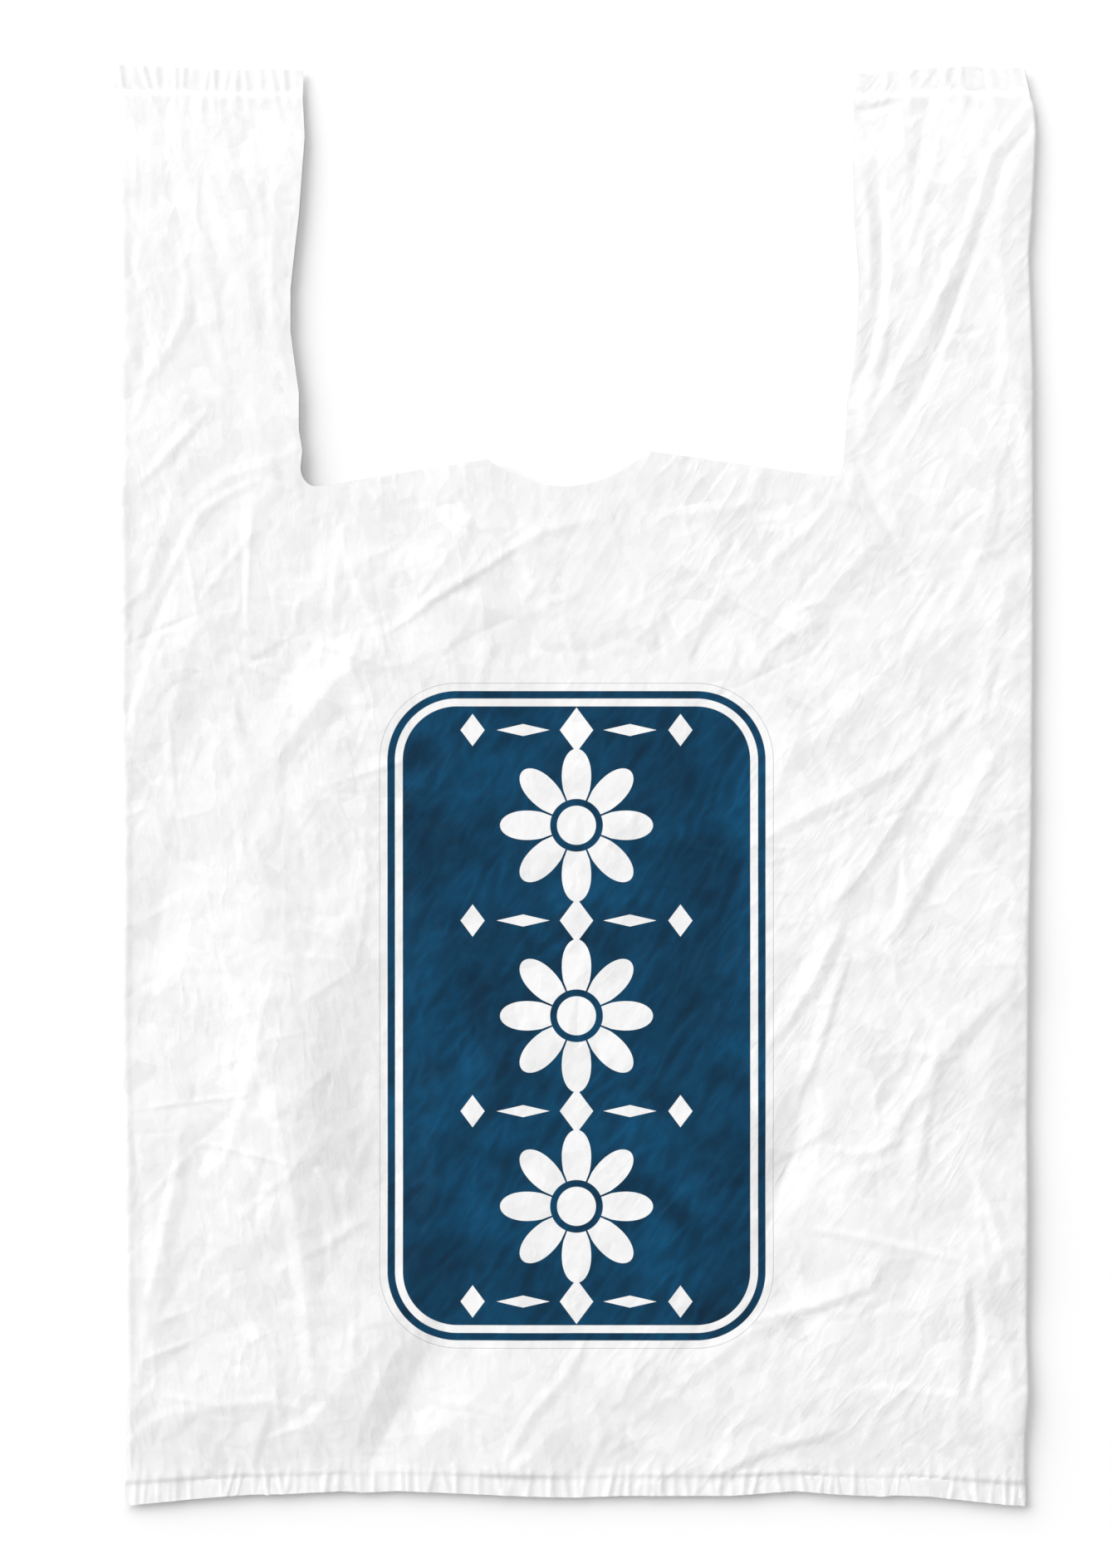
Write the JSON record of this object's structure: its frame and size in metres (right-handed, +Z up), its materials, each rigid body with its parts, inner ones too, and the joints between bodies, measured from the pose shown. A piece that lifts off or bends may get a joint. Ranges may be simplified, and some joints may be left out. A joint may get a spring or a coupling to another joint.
{
  "type": "plastic carrier bag",
  "caption": "Vest-shaped plastic carrier bag lying flat, with folded side gussets, welded ends, a die-cut mouth and a loop handle at each side.",
  "frame": {"origin": "middle of the underside of the bag as it lies flat on its back panel", "axes": "+X across the bag, +Y along it from the bottom weld towards the handles, +Z up out of the front panel"},
  "size_m": [0.316, 0.5, 0.0034],
  "materials": {
    "film": "satin white opaque film"
  },
  "bodies": {
    "root": {"carrier_bag": "film"}
  },
  "joints": []
}
